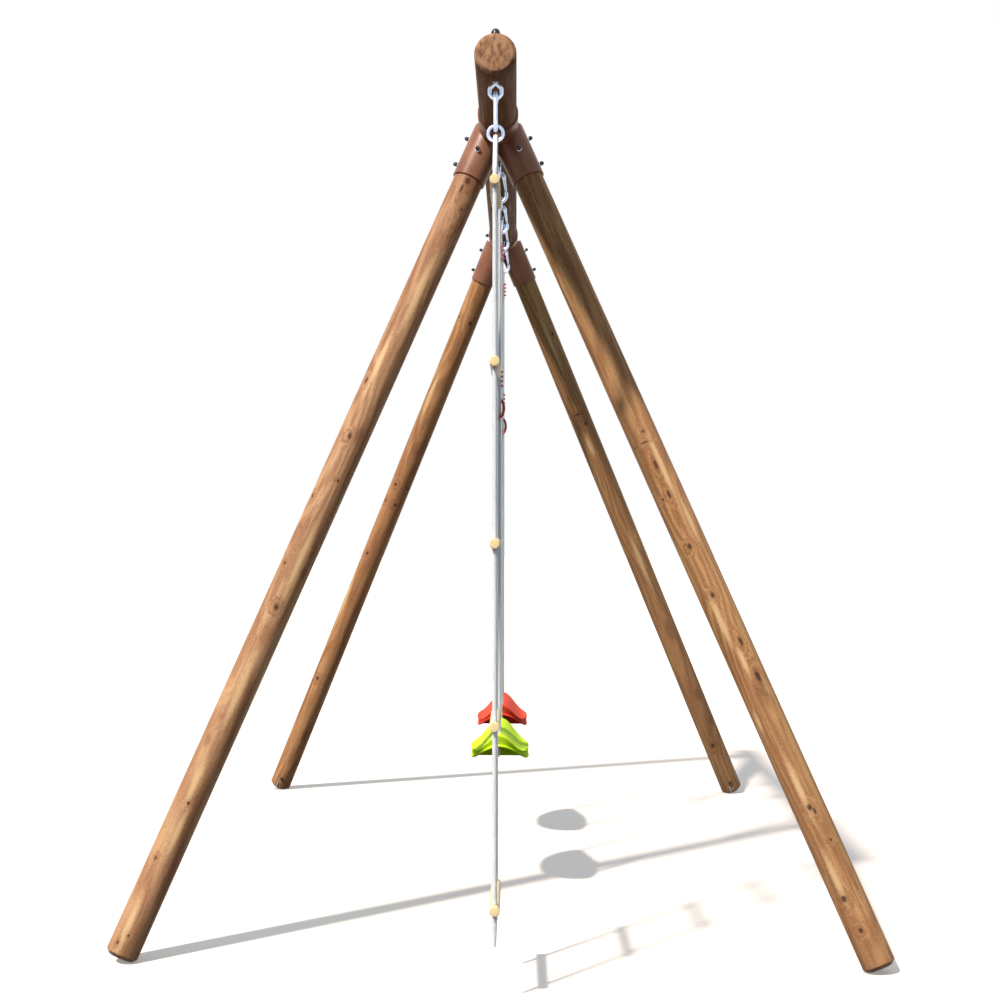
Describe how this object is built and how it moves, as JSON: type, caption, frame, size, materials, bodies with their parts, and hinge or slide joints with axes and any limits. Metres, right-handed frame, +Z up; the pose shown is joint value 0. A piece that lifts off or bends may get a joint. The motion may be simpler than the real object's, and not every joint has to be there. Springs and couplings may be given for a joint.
{
  "type": "wooden swing set",
  "caption": "Wooden swing set of two round-post A-frames and a top beam joined by steel corner sleeves, with moulded saddle swings on ropes and a rope ladder with wooden rungs.",
  "frame": {"origin": "on the ground, at the centre of the whole set's box; the beam runs above it", "axes": "+Z up, +Y along the top beam away from the rope ladder, +X to the right seen from the ladder's end; the swings move along X"},
  "size_m": [1.9442, 3.0556, 2.2793],
  "materials": {
    "timber": "round turned softwood, brown stain, matt, with long grain and knots",
    "rung_wood": "pale planed wood, clear sealed",
    "rust_paint": "rust-brown paint, semi-gloss",
    "zinc": "bright zinc plate",
    "galvanised": "dull galvanised",
    "rope": "white braided cord with sparse orange tracer flecks",
    "green_plastic": "moulded lime green, light sheen",
    "red_plastic": "moulded orange-red, light sheen",
    "clamp_red": "moulded red, satin",
    "black_plastic": "black, satin"
  },
  "bodies": {
    "frame": {"top_beam": "timber", "leg_front_left": "timber", "leg_front_right": "timber", "leg_rear_left": "timber", "leg_rear_right": "timber", "bracket_front": "rust_paint", "bracket_rear": "rust_paint", "eye_ladder": "zinc", "eye_green_front": "zinc", "eye_green_rear": "zinc", "eye_red_front": "zinc", "eye_red_rear": "zinc", "cap_ladder": "black_plastic", "cap_green_front": "black_plastic", "cap_green_rear": "black_plastic", "cap_red_front": "black_plastic", "cap_red_rear": "black_plastic", "anchor_front_left": "galvanised", "anchor_screw_front_left": "black_plastic", "anchor_front_right": "galvanised", "anchor_screw_front_right": "black_plastic", "anchor_rear_left": "galvanised", "anchor_screw_rear_left": "black_plastic", "anchor_rear_right": "galvanised", "anchor_screw_rear_right": "black_plastic"},
    "green_swing": {"seat_green": "green_plastic", "hook_green_front": "zinc", "rope_green_front": "rope", "coil_green_front": "clamp_red", "hook_green_rear": "zinc", "rope_green_rear": "rope", "coil_green_rear": "clamp_red", "adjuster_green": "clamp_red"},
    "red_swing": {"seat_red": "red_plastic", "hook_red_front": "zinc", "rope_red_front": "rope", "coil_red_front": "clamp_red", "hook_red_rear": "zinc", "rope_red_rear": "rope", "coil_red_rear": "clamp_red", "adjuster_red": "clamp_red"},
    "ladder_hook": {"hook_ladder": "zinc"},
    "ladder": {"ladder_ring": "zinc", "ladder_rope": "rope", "rung_1": "rung_wood", "rung_2": "rung_wood", "rung_3": "rung_wood", "rung_4": "rung_wood", "rung_5": "rung_wood"},
    "ladder_gate": {"gate_ladder": "zinc"},
    "green_front_gate": {"gate_green_front": "zinc"},
    "green_rear_gate": {"gate_green_rear": "zinc"},
    "red_front_gate": {"gate_red_front": "zinc"},
    "red_rear_gate": {"gate_red_rear": "zinc"}
  },
  "joints": [
    {"name": "green_swing_hinge", "type": "hinge", "parent": "frame", "child": "green_swing", "pos_m": [0, -0.29285, 2.11195], "axis": [0, 1, 0], "range_deg": [-60, 60]},
    {"name": "red_swing_hinge", "type": "hinge", "parent": "frame", "child": "red_swing", "pos_m": [0, 0.50716, 2.11195], "axis": [0, 1, 0], "range_deg": [-60, 60]},
    {"name": "ladder_hook_hinge", "type": "hinge", "parent": "frame", "child": "ladder_hook", "pos_m": [0, -1.37784, 2.11195], "axis": [1, 0, 0], "range_deg": [-35, 20]},
    {"name": "ladder_hinge", "type": "hinge", "parent": "ladder_hook", "child": "ladder", "pos_m": [0, -1.37784, 2.035], "axis": [0, 1, 0], "range_deg": [-60, 60]},
    {"name": "ladder_gate_hinge", "type": "hinge", "parent": "ladder_hook", "child": "ladder_gate", "pos_m": [0, -1.36499, 2.11096], "axis": [-1, 0, 0], "range_deg": [0, 25], "stiffness_Nm_per_rad": 0.05, "springref_deg": -11.46},
    {"name": "green_front_gate_hinge", "type": "hinge", "parent": "green_swing", "child": "green_front_gate", "pos_m": [0.01285, -0.53285, 2.11096], "axis": [0, 1, 0], "range_deg": [0, 25], "stiffness_Nm_per_rad": 0.05, "springref_deg": -11.46},
    {"name": "green_rear_gate_hinge", "type": "hinge", "parent": "green_swing", "child": "green_rear_gate", "pos_m": [0.01285, -0.05285, 2.11096], "axis": [0, 1, 0], "range_deg": [0, 25], "stiffness_Nm_per_rad": 0.05, "springref_deg": -11.46},
    {"name": "red_front_gate_hinge", "type": "hinge", "parent": "red_swing", "child": "red_front_gate", "pos_m": [0.01285, 0.26715, 2.11096], "axis": [0, 1, 0], "range_deg": [0, 25], "stiffness_Nm_per_rad": 0.05, "springref_deg": -11.46},
    {"name": "red_rear_gate_hinge", "type": "hinge", "parent": "red_swing", "child": "red_rear_gate", "pos_m": [0.01285, 0.74716, 2.11096], "axis": [0, 1, 0], "range_deg": [0, 25], "stiffness_Nm_per_rad": 0.05, "springref_deg": -11.46}
  ]
}
